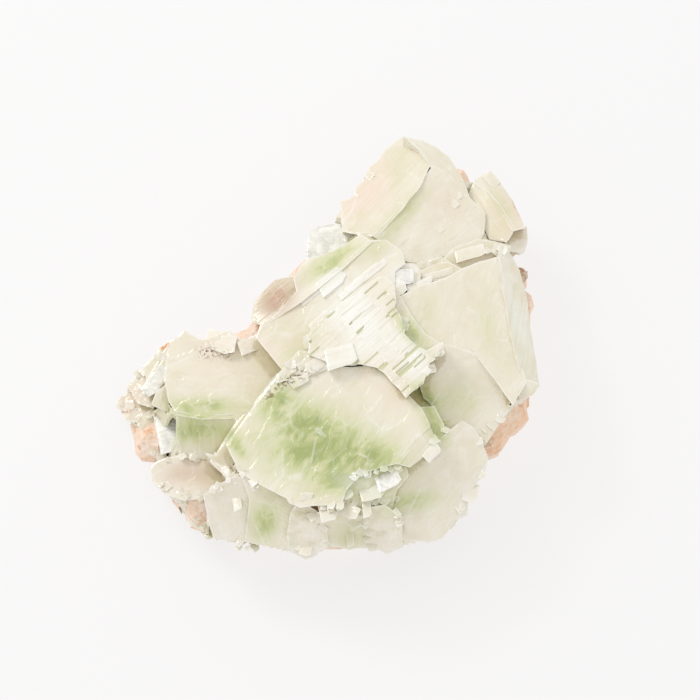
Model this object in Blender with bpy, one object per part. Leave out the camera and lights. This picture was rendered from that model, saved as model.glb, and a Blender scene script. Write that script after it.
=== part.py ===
"""A hand specimen: blocky green-white apophyllite crystals grown on a lump of stilbite.

Lengths in the constants are millimetres. +Z is up, the specimen rests on z = 0, and it is seen from above -Y.
"""

import math

import bmesh
import bpy
import numpy as np
from mathutils import Matrix, Vector, noise

# Units and clearances
MM = 0.001
SEAM = 0.3
START_CUBE = 1.0

# Colours: linear red, green and blue
CRYSTAL_COLOUR = (0.72, 0.70, 0.50, 1.0)
CRYSTAL_ROUGHNESS = 0.18
MATRIX_COLOUR = (0.80, 0.42, 0.24, 1.0)
MATRIX_ROUGHNESS = 0.75

# Lattice settings shared by the crystals of one growth: compass direction of the lean, lean, turn, in degrees
FRONT = (139, 16, 49)
TERRACED = (140, 18, 42)
UPPER = (148, 29, 48)
RIGHT = (162, 19, 10)
RIDGE = (-40, 12, 38)
LOWER_RIGHT = (-75, 30, 22)

# Each crystal: centre of its top face, lattice setting, reach along its two prism axes, depth,
# and any extra flat faces as (direction in the crystal's own axes, distance from the centre of the top)
CRYSTALS = {
    "front_block": ((-0.5, -34.5, 46), FRONT, (-17.5, 19), (-21, 22), 13, [((-0.7, -0.7, 0), 24.5)]),
    "terrace_1": ((11, -4, 51), TERRACED, (-4, 13.5), (-2, 16), 26, []),
    "terrace_2": ((11, -4.5, 51.5), TERRACED, (-19, 14.5), (-2.3, 9.5), 26, []),
    "terrace_3": ((11, -4.5, 52), TERRACED, (-17, 13), (-3, 4), 25, []),
    "terrace_4": ((11, -4.5, 51.4), TERRACED, (-13, 12), (-8, 2), 26, []),
    "terrace_5": ((11, -4, 50.8), TERRACED, (-8, 12.5), (-14, 2.2), 27, []),
    "terrace_6": ((11, -3.5, 50), TERRACED, (-6, 13.2), (-23, 2.4), 26.5, []),
    "terrace_7": ((11, -3.5, 49), TERRACED, (-4.4, 6), (-28, 2.6), 24, []),
    "upper_prism": ((19, 46.5, 36), UPPER, (-15, 17.5), (-8, 8), 30, []),
    "upper_step_1": ((7, 42, 33), UPPER, (-3, 5), (-4, 3), 16, []),
    "upper_step_2": ((11, 48, 34), UPPER, (-4, 5), (-4, 3), 17, []),
    "upper_step_3": ((15, 53.5, 34.4), UPPER, (-3, 5), (-4, 3.6), 15, []),
    "upper_step_4": ((19.5, 59, 35), UPPER, (-4, 4), (-4, 3.2), 16, []),
    "upper_side": ((46, 49.5, 33), UPPER, (-6, 4), (-6, 6), 24, []),
    "upper_side_low": ((53.5, 33, 32), RIGHT, (-6, 5.5), (-4, 7), 20, []),
    "upper_side_inner": ((43, 35, 30), UPPER, (-5, 5), (-6, 4), 18, []),
    "right_block": ((41.5, 0.5, 42), RIGHT, (-17, 11.5), (-26, 17), 16, [((-0.8, -0.6, 0), 13.5)]),
    "right_lower": ((41.5, -18.5, 36), RIGHT, (-11, 9), (-11, 12.4), 13, []),
    "right_ledge": ((47, 26.5, 34), RIGHT, (-11, 11.2), (-4, 5.5), 20, []),
    "middle_ledge": ((28.5, 17, 36), RIGHT, (-8, 8.5), (-5, 4.2), 18, []),
    "middle_step": ((31, 23, 33), RIGHT, (-6, 7), (-4, 4), 17, []),
    "ridge_block": ((-1, 5.5, 45), RIDGE, (-22, 24), (-12, 10), 30, [((0, 0.8, 0.6), 3.6)]),
    "white_chip": ((23, 16, 41), TERRACED, (-4, 4), (-3, 3), 12, [((0.7, 0, 0.7), 1.6), ((-0.7, 0, 0.7), 1.6)]),
    "left_block": ((-33, -13.5, 34), (90, 8, 2), (-15, 17), (-11, 12), 24, [((0, 0.6, 0.8), 6.2)]),
    "left_tip_1": ((-42.5, -2, 31), (110, 15, 45), (-3, 3), (-3, 3), 14, []),
    "left_tip_2": ((-29, -2, 31), (70, 15, 45), (-3, 3), (-3, 3), 14, []),
    "left_slab": ((-40.5, -37.5, 20), (100, 5, -10), (-11, 11), (-5, 7), 13, []),
    "left_slab_2": ((-31, -38, 23), (100, 15, -25), (-5, 5), (-4, 4), 14, []),
    "left_front_chip": ((-39.5, -48.5, 12), (-120, 20, 20), (-4, 4), (-3, 3), 8, []),
    "far_left_1": ((-56, -11, 19), (150, 20, 30), (-4, 5), (-4, 4), 13, []),
    "far_left_2": ((-59.5, -15.5, 17), (170, 20, 60), (-3, 3), (-4, 4), 11, []),
    "far_left_3": ((-52, -6, 22), (150, 20, 10), (-4, 4), (-4, 4), 14, []),
    "left_column": ((-47.5, -27.5, 24), (-120, 30, 0), (-4, 4), (-7, 8), 14, []),
    "bottom_1": ((-28, -53.5, 26), (-100, 40, 5), (-7, 7), (-9, 9), 18, []),
    "bottom_2": ((-17.5, -55, 28), (-90, 40, 0), (-7, 7), (-9, 9), 20, []),
    "bottom_3": ((-7, -59, 26), (-80, 42, -20), (-6, 6), (-8, 8), 18, []),
    "bottom_4": ((5, -60, 30), (-90, 40, 0), (-8, 8), (-6, 6), 18, []),
    "bottom_5": ((16, -59, 27), (-90, 42, 10), (-6, 6), (-8, 8), 18, []),
    "cube_1": ((6.5, -56.5, 40), (-60, 20, 30), (-3.5, 3.5), (-3, 3), 16, []),
    "cube_2": ((0.5, -56, 38), (-100, 25, 60), (-3, 3), (-3, 3), 16, []),
    "glassy_1": ((16, -49.5, 45), (-60, 22, 20), (-6, 6), (-4, 4), 22, []),
    "glassy_2": ((10, -53, 43.5), (-90, 25, 35), (-5, 5), (-4, 4), 22, []),
    "right_front": ((31.5, -46, 30), LOWER_RIGHT, (-16, 16.7), (-13, 14.5), 20,
                    [((-0.4, 0.916, 0), 7.4), ((0.732, -0.681, 0), 11.3)]),
    "right_front_step": ((37, -32.5, 31), (-60, 24, 22), (-7, 8), (-6, 5), 16, [((-0.4, 0.916, 0), 4)]),
    "middle_small": ((30.5, -30.5, 38), (-60, 20, 40), (-3, 3), (-5, 5), 16, []),
    "dome_chip": ((4, -13, 50), TERRACED, (-4.6, 4), (-3.2, 3), 14, [((0.7, 0, 0.7), 1.8), ((-0.7, 0, 0.7), 1.8)]),
    "ledge_chip": ((-5.5, -13.5, 47), FRONT, (-4, 4), (-2.5, 3), 13, []),
    "back_clear": ((2, 33.5, 26), (120, 20, 10), (-8, 8), (-5, 5), 19, [((0, 0.7, 0.7), 2.4)]),
    "back_smoky": ((-16.5, 15.5, 26), (140, 15, 35), (-7, 7), (-6, 6), 17, [((-0.7, 0, 0.7), 3.2)]),
}

# Outline of the stilbite seen from above: compass angle in degrees and distance from OUTLINE_CENTRE
OUTLINE_CENTRE = (0, -4)
OUTLINE = (
    (-166, 57), (-154, 58), (-131, 59), (-98, 54), (-68, 53), (-46, 55), (-27, 53), (-8, 60), (13, 61), (34, 67),
    (42, 74), (54, 77), (62, 75), (69, 67), (86, 50), (98, 40), (117, 32), (138, 30), (153, 29), (164, 40), (176, 52),
)
MATRIX_MIDDLE = 9
MATRIX_RISE = 19
MATRIX_DROP = 11.5
MATRIX_ROUNDS = 4
FOOT_FULLNESS = 0.5
BUMP = 1.3
BUMP_SIZE = 9.0

# Knobs of stilbite that show between the crystals: centre, then half-lengths
KNOBS = {
    "knob_right_top": ((52, 26, 15), (9, 9, 12)),
    "knob_right": ((51, 14, 14), (11, 12, 13)),
    "knob_right_low": ((50, 0, 14), (12, 12, 12)),
    "knob_corner": ((48, -16, 13), (12, 10, 12)),
    "knob_corner_low": ((43, -24, 12), (11, 8, 12)),
    "knob_upper": ((38, 54, 16), (7, 7, 10)),
    "knob_upper_right": ((51, 42, 15), (9, 9, 11)),
    "knob_left": ((-49, -23, 9), (10, 9, 9)),
    "knob_front_left": ((-33, -44, 9), (12, 9, 8)),
}
KNOB_ROUNDS = 3
KNOB_BUMP = 1.5
KNOB_BUMP_SIZE = 6.0
KNOB_CLEARANCE = 0.6

# Moves the middle of the specimen onto the origin
CENTRE_SHIFT = (-0.64, 0.76, 0.0)

# Smallest length kept when the fused solids are tidied
WELD = 0.002
FLAT_ANGLE = math.radians(0.2)


def clear_scene():
    """Takes everything out of the open scene."""
    for obj in list(bpy.data.objects):
        bpy.data.objects.remove(obj)


def new_collection(name):
    """Adds a collection to the scene."""
    collection = bpy.data.collections.new(name)
    bpy.context.scene.collection.children.link(collection)
    return collection


def new_material(name, colour, roughness):
    """A plain non-metal surface."""
    material = bpy.data.materials.new(name)
    material.use_nodes = True
    shader = material.node_tree.nodes["Principled BSDF"]
    shader.inputs["Base Color"].default_value = colour
    shader.inputs["Roughness"].default_value = roughness
    shader.inputs["Metallic"].default_value = 0.0
    return material


def object_from(bm, name, collection, helper=False):
    """Makes an object of a bmesh, which is used up; a helper is drawn as wire and never rendered."""
    mesh = bpy.data.meshes.new(name)
    bm.to_mesh(mesh)
    bm.free()
    obj = bpy.data.objects.new(name, mesh)
    collection.objects.link(obj)
    if helper:
        obj.hide_render = True
        obj.display_type = "WIRE"
    return obj


def lattice_matrix(top, setting):
    """Places a crystal's own axes: turned about its long axis, then leaned, then moved to its top face."""
    lean_to, lean, turn = (math.radians(angle) for angle in setting)
    turned = Matrix.Rotation(lean_to, 4, "Z") @ Matrix.Rotation(lean, 4, "Y")
    return Matrix.Translation(Vector(top) * MM) @ turned @ Matrix.Rotation(turn - lean_to, 4, "Z")


def slice_off(bm, direction, distance):
    """Cuts away what lies past a plane, and closes the cut with a flat face."""
    normal = Vector(direction).normalized()
    geometry = bm.verts[:] + bm.edges[:] + bm.faces[:]
    cut = bmesh.ops.bisect_plane(
        bm, geom=geometry, plane_co=normal * distance * MM, plane_no=normal, clear_outer=True
    )
    rim = [item for item in cut["geom_cut"] if isinstance(item, bmesh.types.BMEdge)]
    if rim:
        bmesh.ops.contextual_create(bm, geom=rim)


def crystal(name, collection, grow=0.0):
    """One tetragonal crystal: a block whose top face, sides and extra faces are all moved out by grow."""
    top, setting, along_x, along_y, depth, extra_faces = CRYSTALS[name]
    low = Vector((along_x[0] - grow, along_y[0] - grow, -depth - grow))
    high = Vector((along_x[1] + grow, along_y[1] + grow, grow))
    bm = bmesh.new()
    bmesh.ops.create_cube(bm, size=START_CUBE)
    bmesh.ops.scale(bm, vec=(high - low) * MM, verts=bm.verts)
    bmesh.ops.translate(bm, vec=(high + low) * MM / 2, verts=bm.verts)
    for direction, distance in extra_faces:
        slice_off(bm, direction, distance + grow)
    bmesh.ops.transform(bm, matrix=lattice_matrix(top, setting), verts=bm.verts)
    bmesh.ops.recalc_face_normals(bm, faces=bm.faces)
    return object_from(bm, name, collection, helper=True)


def bumps(point, size, height):
    """Coarse and fine unevenness of broken stilbite at a point, both in millimetres."""
    coarse = noise.noise(Vector(point) / size)
    fine = noise.noise(Vector(point) / (size * 0.45) + Vector((7.3, 1.9, 4.1)))
    return height * (1.6 * coarse + 0.8 * fine)


def outline_radius(angle):
    """Distance from the outline's centre to its edge, straight between the listed angles and joined at the ends."""
    angles = [degrees for degrees, _ in OUTLINE]
    radii = [radius for _, radius in OUTLINE]
    return float(np.interp(math.degrees(angle), angles, radii, period=360))


def matrix_body(collection):
    """The stilbite lump: a ball spread out to the outline, domed above, cut flat where it rests."""
    bm = bmesh.new()
    bmesh.ops.create_icosphere(bm, subdivisions=MATRIX_ROUNDS, radius=1.0)
    for vert in bm.verts:
        across = math.hypot(vert.co.x, vert.co.y)
        angle = math.atan2(vert.co.y, vert.co.x)
        above = vert.co.z > 0
        spread = across if above else across**FOOT_FULLNESS
        reach = outline_radius(angle) * spread
        x = OUTLINE_CENTRE[0] + reach * math.cos(angle)
        y = OUTLINE_CENTRE[1] + reach * math.sin(angle)
        z = MATRIX_MIDDLE + (MATRIX_RISE * vert.co.z**2 if above else MATRIX_DROP * vert.co.z)
        swell = bumps((x, y, z), BUMP_SIZE, BUMP)
        outward = Vector((math.cos(angle) * across, math.sin(angle) * across, vert.co.z))
        point = Vector((x, y, z)) + outward * swell
        point.z = max(point.z, 0.0)
        vert.co = point * MM
    bmesh.ops.dissolve_limit(bm, angle_limit=FLAT_ANGLE, verts=bm.verts, edges=bm.edges)
    return object_from(bm, "matrix_body", collection, helper=True)


def knob(name, collection):
    """One rounded, uneven lump of stilbite."""
    centre, half_lengths = KNOBS[name]
    bm = bmesh.new()
    bmesh.ops.create_icosphere(bm, subdivisions=KNOB_ROUNDS, radius=1.0)
    for vert in bm.verts:
        direction = vert.co.copy()
        point = Vector(centre) + Vector([d * h for d, h in zip(direction, half_lengths)])
        point += direction * bumps(point, KNOB_BUMP_SIZE, KNOB_BUMP)
        point.z = max(point.z, KNOB_CLEARANCE)
        vert.co = point * MM
    return object_from(bm, name, collection, helper=True)


def fuse(first, others, operation):
    """Adds a Boolean of one object with every object in a collection."""
    modifier = first.modifiers.new(operation.lower(), "BOOLEAN")
    modifier.operation = operation
    modifier.operand_type = "COLLECTION"
    modifier.collection = others
    modifier.solver = "EXACT"


def largest_body(bm):
    """Keeps the connected body with the most faces, and drops chips that a cut has freed."""
    left = set(bm.faces)
    bodies = []
    while left:
        body = {left.pop()}
        edge_of_body = list(body)
        while edge_of_body:
            face = edge_of_body.pop()
            near = {other for edge in face.edges for other in edge.link_faces} & left
            left -= near
            body |= near
            edge_of_body.extend(near)
        bodies.append(body)
    bodies.sort(key=len)
    chips = [face for body in bodies[:-1] for face in body]
    bmesh.ops.delete(bm, geom=chips, context="FACES")


def settled(source, name, collection, material):
    """Turns an object with its modifiers into one plain solid of triangles."""
    graph = bpy.context.evaluated_depsgraph_get()
    mesh = bpy.data.meshes.new_from_object(source.evaluated_get(graph))
    bm = bmesh.new()
    bm.from_mesh(mesh)
    bpy.data.meshes.remove(mesh)
    bmesh.ops.remove_doubles(bm, verts=bm.verts, dist=WELD * MM)
    bmesh.ops.dissolve_degenerate(bm, edges=bm.edges, dist=WELD * MM)
    largest_body(bm)
    bmesh.ops.triangulate(bm, faces=bm.faces)
    bmesh.ops.translate(bm, vec=Vector(CENTRE_SHIFT) * MM, verts=bm.verts)
    obj = object_from(bm, name, collection)
    obj.data.materials.clear()
    obj.data.materials.append(material)
    return obj


def main():
    clear_scene()
    specimen = new_collection("apophyllite_specimen")
    helpers = new_collection("helpers")
    blocks = new_collection("crystal_blocks")
    sockets = new_collection("crystal_sockets")
    knobs = new_collection("stilbite_knobs")

    names = list(CRYSTALS)
    first = crystal(names[0], helpers)
    for name in names[1:]:
        crystal(name, blocks)
    fuse(first, blocks, "UNION")
    stone = new_material("apophyllite", CRYSTAL_COLOUR, CRYSTAL_ROUGHNESS)
    settled(first, "apophyllite_cluster", specimen, stone)

    for name in names:
        crystal(name, sockets, grow=SEAM)
    body = matrix_body(helpers)
    for name in KNOBS:
        knob(name, knobs)
    fuse(body, knobs, "UNION")
    fuse(body, sockets, "DIFFERENCE")
    crust = new_material("stilbite", MATRIX_COLOUR, MATRIX_ROUGHNESS)
    settled(body, "stilbite_matrix", specimen, crust)

    for collection in (helpers, blocks, sockets, knobs):
        for obj in list(collection.objects):
            bpy.data.objects.remove(obj)
        bpy.data.collections.remove(collection)


main()
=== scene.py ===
# %% [markdown]
# # A cluster of apophyllite on stilbite
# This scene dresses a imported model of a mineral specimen: milky, green-hearted apophyllite crystals
# that grew on a crust of peach-coloured stilbite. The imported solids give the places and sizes.
# Every surface that is added here is worked out with numpy as whole arrays.

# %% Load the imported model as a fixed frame
import math
from collections import namedtuple

import bpy
import numpy as np
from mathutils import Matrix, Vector


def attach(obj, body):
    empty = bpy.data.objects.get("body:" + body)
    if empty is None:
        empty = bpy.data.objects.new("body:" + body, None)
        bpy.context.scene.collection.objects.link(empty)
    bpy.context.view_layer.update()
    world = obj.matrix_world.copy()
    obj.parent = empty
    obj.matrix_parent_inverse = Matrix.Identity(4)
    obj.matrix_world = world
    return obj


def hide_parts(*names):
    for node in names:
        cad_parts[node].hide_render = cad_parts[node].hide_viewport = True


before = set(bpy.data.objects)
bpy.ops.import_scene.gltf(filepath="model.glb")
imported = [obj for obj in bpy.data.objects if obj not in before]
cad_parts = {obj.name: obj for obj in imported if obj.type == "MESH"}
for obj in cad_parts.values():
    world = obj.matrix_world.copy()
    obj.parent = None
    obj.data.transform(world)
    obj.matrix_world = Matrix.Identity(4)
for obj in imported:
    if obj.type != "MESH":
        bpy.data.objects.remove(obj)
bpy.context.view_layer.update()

MM = 0.001
print("nodes:", sorted(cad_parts))

# %% [markdown]
# ## The camera and the light
# The specimen lies on a white surface and is seen from well above its front edge, so the camera is a
# long lens that looks down steeply. A long lens keeps the parallel edges of the crystals parallel.

# %% Place the camera
CENTRE_SHIFT = np.array([-0.64, 0.76, 0.0])
VIEW_TARGET = np.array([6.5, 0.0, 20.0]) + CENTRE_SHIFT
VIEW_ELEVATION = math.radians(68)
VIEW_DISTANCE = 700.0
VIEW_WIDTH = 210.0
SENSOR = 36.0
FARTHEST_SEEN = 10.0
TOWARDS_CAMERA = np.array([0.0, -math.cos(VIEW_ELEVATION), math.sin(VIEW_ELEVATION)])
CAMERA_PLACE = VIEW_TARGET + VIEW_DISTANCE * TOWARDS_CAMERA


def place_camera():
    """Looks at the target from the front, at the elevation, with a lens that spans the view width there."""
    data = bpy.data.cameras.new("photo_camera")
    data.sensor_width = SENSOR
    data.lens = SENSOR * VIEW_DISTANCE / VIEW_WIDTH
    data.clip_end = FARTHEST_SEEN
    camera = bpy.data.objects.new("photo_camera", data)
    bpy.context.scene.collection.objects.link(camera)
    camera.location = CAMERA_PLACE * MM
    camera.rotation_euler = (math.pi / 2 - VIEW_ELEVATION, 0.0, 0.0)
    bpy.context.scene.camera = camera


place_camera()
print("camera in place")

# %% Soft studio light from the upper left
SKY = (1.0, 0.995, 0.99, 1.0)
SKY_STRENGTH = 0.88
KEY_PLACE = np.array([-420.0, 330.0, 620.0])
KEY_SIZE = 260.0
KEY_POWER = 1.6


def place_light(name, place, size, power):
    """A square lamp that faces the specimen."""
    data = bpy.data.lights.new(name, "AREA")
    data.energy = power
    data.shape = "SQUARE"
    data.size = size * MM
    lamp = bpy.data.objects.new(name, data)
    bpy.context.scene.collection.objects.link(lamp)
    lamp.location = place * MM
    towards = Vector((VIEW_TARGET - place) * MM)
    lamp.rotation_euler = towards.to_track_quat("-Z", "Y").to_euler()


def light_the_room():
    """An even white surround, so that nothing goes black, and one large lamp."""
    world = bpy.data.worlds.new("studio")
    world.use_nodes = True
    background = world.node_tree.nodes["Background"]
    background.inputs["Color"].default_value = SKY
    background.inputs["Strength"].default_value = SKY_STRENGTH
    bpy.context.scene.world = world
    place_light("key_lamp", KEY_PLACE, KEY_SIZE, KEY_POWER)
    bpy.context.scene.view_settings.view_transform = "Standard"


light_the_room()
print("lights in place")

# %% [markdown]
# ## Helpers for node materials
# A material is a small graph. These helpers add a node, set its sockets by name and join it up, so
# that the materials further down read as lists of what each surface is made of.

# %% Node helpers
MIX_SOCKETS = (0, 6, 7)
MIX_OUTPUT = 2


class Graph:
    """A material's node tree with short ways to add and join nodes."""

    def __init__(self, name):
        self.material = bpy.data.materials.new(name)
        self.material.use_nodes = True
        self.tree = self.material.node_tree
        self.tree.nodes.clear()
        self.output = self.tree.nodes.new("ShaderNodeOutputMaterial")

    def feed(self, socket, value):
        """Joins a node's output to a socket, or sets the socket to a number, a colour or a vector."""
        if isinstance(value, bpy.types.NodeSocket):
            self.tree.links.new(value, socket)
        elif socket.type == "RGBA":
            socket.default_value = (*value, 1.0)
        else:
            socket.default_value = value

    def add(self, kind, settings=None, **sockets):
        """Adds a node; a socket's name is written with _ for each space."""
        node = self.tree.nodes.new(kind)
        for key, value in (settings or {}).items():
            setattr(node, key, value)
        for key, value in sockets.items():
            self.feed(node.inputs[key.replace("_", " ")], value)
        return node

    def place(self):
        """Object coordinates."""
        return self.add("ShaderNodeTexCoord").outputs["Object"]

    def noise(self, place, scale, detail, rough, warp=0.0):
        sockets = {"Scale": scale, "Detail": detail, "Roughness": rough, "Distortion": warp}
        return self.add("ShaderNodeTexNoise", Vector=place, **sockets).outputs["Fac"]

    def attribute(self, name, output="Fac"):
        return self.add("ShaderNodeAttribute", {"attribute_name": name}).outputs[output]

    def ramp(self, value, low, high, to_low=0.0, to_high=1.0):
        """Stretches the part of a value between low and high."""
        sockets = {"From_Min": low, "From_Max": high, "To_Min": to_low, "To_Max": to_high}
        return self.add("ShaderNodeMapRange", {"clamp": True}, Value=value, **sockets).outputs[0]

    def product(self, first, second):
        """One value times another."""
        node = self.add("ShaderNodeMath", {"operation": "MULTIPLY"})
        for socket, value in zip(node.inputs, (first, second)):
            self.feed(socket, value)
        return node.outputs[0]

    def mix(self, share, first, second):
        """A colour that goes from first to second as share goes from 0 to 1."""
        node = self.add("ShaderNodeMix", {"data_type": "RGBA"})
        for number, value in zip(MIX_SOCKETS, (share, first, second)):
            self.feed(node.inputs[number], value)
        return node.outputs[MIX_OUTPUT]

    def over(self, colour, paint, value, low, high, most=1.0):
        """Lays paint over a colour as a value goes from low to high, up to the share most."""
        return self.mix(self.ramp(value, low, high, 0.0, most), colour, paint)

    def bump(self, height, distance, strength, **sockets):
        """A normal that follows a height."""
        sockets.update(Height=height, Distance=distance, Strength=strength)
        return self.add("ShaderNodeBump", **sockets).outputs[0]

    def end(self, **shaders):
        """Joins shaders to the output's sockets of the same names and gives back the material."""
        for key, node in shaders.items():
            self.feed(self.output.inputs[key], node.outputs[0])
        return self.material


print("node helpers ready")

# %% [markdown]
# ## From the picture plane to the crystals' planes
# Each crystal face is flat, so it is enough to know its outline in the picture and the plane that it lies
# in. A line from the camera through each outline point meets the plane at the real corner. A plane is
# given by its height in the middle of the outline and by its rise for each mm to the right and to the back.

# %% Lines from the camera
UP = np.array([0.0, 0.0, 1.0])
PICTURE_RIGHT = np.array([1.0, 0.0, 0.0])
PICTURE_UP = np.array([0.0, math.sin(VIEW_ELEVATION), math.cos(VIEW_ELEVATION)])
PICTURE_SIZE = 700
PIXEL = VIEW_WIDTH / PICTURE_SIZE


def sight_lines(pixels):
    """Directions from the camera through picture points, which count right and down from the top left."""
    pixels = np.atleast_2d(np.array(pixels, float))
    right = (pixels[:, :1] - PICTURE_SIZE / 2) * PIXEL
    up = (PICTURE_SIZE / 2 - pixels[:, 1:]) * PIXEL
    return VIEW_TARGET + right * PICTURE_RIGHT + up * PICTURE_UP - CAMERA_PLACE


def on_plane(pixels, point, normal):
    """Where the sight lines meet the plane through point: camera plus line times a ratio of distances."""
    lines = sight_lines(pixels)
    ratio = ((point - CAMERA_PLACE) @ normal) / (lines @ normal)
    return CAMERA_PLACE + lines * ratio[:, None]


def on_level(pixel, height):
    """Where one sight line meets the level plane at a height."""
    return on_plane(pixel, height * UP, UP)[0]


def face_plane(outline, height, rise_right, rise_back):
    """The plane's point above the middle of the outline and its normal."""
    point = on_level(np.array(outline, float).mean(axis=0), height)
    normal = np.array([-rise_right, -rise_back, 1.0])
    return point, normal / np.linalg.norm(normal)


def turned(right, down, degrees):
    """Picture directions turned by an angle: along and across."""
    cosine, sine = math.cos(math.radians(degrees)), math.sin(math.radians(degrees))
    return right * cosine - down * sine, right * sine + down * cosine


print("sight lines ready")

# %% [markdown]
# ## Unevenness that repeats on every run
# Value noise: random numbers on a grid of whole-number points, blended smoothly between them. The numbers
# come from a fixed mixing formula and not from a generator, so the same point always gets the same value.

# %% Value noise
AXIS_PRIMES = (73856093, 19349663, 83492791)
SEED_PRIME = 961748927
SEED_START = 17
MIXERS = (374761393, 668265263)
MOST = 2147483647


def grid_value(whole, seed):
    """A fixed number from 0 to 1 for each whole-number point."""
    mixed = seed * SEED_PRIME + SEED_START
    for column, prime in zip(whole.T, AXIS_PRIMES):
        mixed = mixed ^ column * prime
    mixed = (mixed ^ (mixed >> 13)) * MIXERS[0] & MOST
    mixed = (mixed ^ (mixed >> 11)) * MIXERS[1] & MOST
    return (mixed ^ (mixed >> 15)) / MOST


def value_noise(points, size, seed=0):
    """Smooth noise from 0 to 1: the eight corner values around each point, weighted by a smooth step."""
    scaled = points / size
    base = np.floor(scaled).astype(np.int64)
    part = scaled - base
    part = part * part * (3 - 2 * part)
    total = np.zeros(len(points))
    for corner in np.ndindex(2, 2, 2):
        weight = np.prod(np.where(corner, part, 1 - part), axis=1)
        total += weight * grid_value(base + np.array(corner), seed)
    return total


def rough_noise(points, size, seed=0, layers=3):
    """Layers of value noise, each half the size and half the height of the one before, from 0 to 1."""
    total = sum(value_noise(points, size / 2**i, seed + i) / 2**i for i in range(layers))
    return total / sum(1 / 2**i for i in range(layers))


print("noise ready")

# %% [markdown]
# ## A crystal from its outline
# The end face is a grid of points inside the outline, whose border points are drawn onto the outline, so
# that the edges are straight. Layers of growth, a worn rim and fine ribs are heights on that grid. Walls go
# down from the outline. They lean back along the sight line in front and less towards the back.

# %% Growth steps
STEP_FLOOR = 0.2
STEP_SPAN = 0.6


def growth_steps(flat, seed, cell, spread, layers):
    """Low steps from 0 to 1: smooth noise read once for each oblong cell and rounded down to whole layers."""
    cell = np.array([*cell, 1.0])
    middle = (np.floor(flat / cell) + 0.5) * cell
    noise = rough_noise(middle / np.array([*spread, 1.0]), 1.0, seed, 2)
    return np.clip(np.floor((noise - STEP_FLOOR) / STEP_SPAN * layers) / layers, 0.0, 1.0)


print("growth steps ready")

# %% Outlines and what lies inside
TINY = 1e-9
SHARPEST = 0.5


def inside_outline(u, v, outline):
    """True where a line to the right crosses the outline an odd number of times."""
    inside = np.zeros(u.shape, bool)
    for (u0, v0), (u1, v1) in zip(outline, np.roll(outline, -1, axis=0)):
        if v0 != v1:
            inside ^= ((v0 > v) != (v1 > v)) & (u < (u1 - u0) * (v - v0) / (v1 - v0) + u0)
    return inside


def nearest_on_outline(flat, outline):
    """The nearest point of the outline to each point, and how far it is."""
    best = np.full(len(flat), np.inf)
    where = flat.copy()
    for start, end in zip(outline, np.roll(outline, -1, axis=0)):
        side = end - start
        share = np.clip((flat - start) @ side / max(side @ side, TINY), 0.0, 1.0)
        spot = start + share[:, None] * side
        far = np.linalg.norm(flat - spot, axis=1)
        where = np.where((far < best)[:, None], spot, where)
        best = np.minimum(best, far)
    return where, best


def moved_out(outline, distance):
    """The outline with every side moved out: each corner goes along the sum of its two sides' normals."""
    after = np.roll(outline, -1, axis=0)
    along = after - outline
    normals = np.stack([along[:, 1], -along[:, 0]], axis=1)
    normals /= np.linalg.norm(normals, axis=1, keepdims=True)
    if np.sum(outline[:, 0] * after[:, 1] - after[:, 0] * outline[:, 1]) < 0:
        normals = -normals
    both = normals + np.roll(normals, 1, axis=0)
    both /= np.maximum(np.sum(both**2, axis=1, keepdims=True) / 2, SHARPEST)
    return outline + both * distance


print("outline helpers ready")

# %% Closed quads from filled cells
TOP_STEPS = ((0, 0), (1, 0), (1, 1), (0, 1))
BOTTOM_STEPS = (TOP_STEPS[0], *reversed(TOP_STEPS[1:]))


def extruded_quads(filled, number, levels):
    """Quads of the upper and lower sides of all filled cells, and walls where a cell has no neighbour."""

    def corners(cells, steps):
        a, b = np.nonzero(cells)
        return np.stack([number[a + di, b + dj, dk] for di, dj, dk in steps], axis=1)

    quads = [
        corners(filled, [(*step, levels) for step in TOP_STEPS]),
        corners(filled, [(*step, 0) for step in BOTTOM_STEPS]),
    ]
    wide = np.pad(filled, 1)
    walls = (
        (wide[:-2, 1:-1], (0, 1), (0, 0)), (wide[2:, 1:-1], (1, 0), (1, 1)),
        (wide[1:-1, :-2], (0, 0), (1, 0)), (wide[1:-1, 2:], (1, 1), (0, 1)),
    )
    for neighbour, first, second in walls:
        for level in range(levels):
            steps = ((*first, level), (*second, level), (*second, level + 1), (*first, level + 1))
            quads.append(corners(filled & ~neighbour, steps))
    return quads


def used_points(filled, levels):
    """The quads of the filled cells, and each of their points' place in the grid: a, b and its level."""
    shape = (*(count + 1 for count in filled.shape), levels + 1)
    number = np.arange(math.prod(shape)).reshape(shape)
    used, faces = np.unique(np.concatenate(extruded_quads(filled, number, levels)), return_inverse=True)
    return np.unravel_index(used, shape), faces.reshape(-1, 4)


print("cell helpers ready")

# %% The crystal body
WALL_STEP = 2.2
LOWEST = 1.2
RIM_DROP = 0.14
RIM_WIDTH = 0.35
RAGGED = 0.40
RAGGED_SIZE = 2.5
UNBITTEN = 0.35
OVERLAP = 0.40
BACK_LEAN = 1.0 / math.tan(VIEW_ELEVATION)
LEAN_ROOM = 0.8
RIB_CELL = (0.8, 6.0)
RIB_SPREAD = (2.0, 9.0)
RIB_CUT = 0.35
FAR_FROM_RIM = 9.0
Body = namedtuple("Body", "points quads own rim drop on_top")


def face_axes(normal, grain):
    """The direction of the grain in a face, and the direction across it."""
    grain = math.radians(grain)
    along = np.cross(PICTURE_UP * math.cos(grain) - PICTURE_RIGHT * math.sin(grain), normal)
    along /= np.linalg.norm(along)
    return along, np.cross(normal, along)


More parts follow.
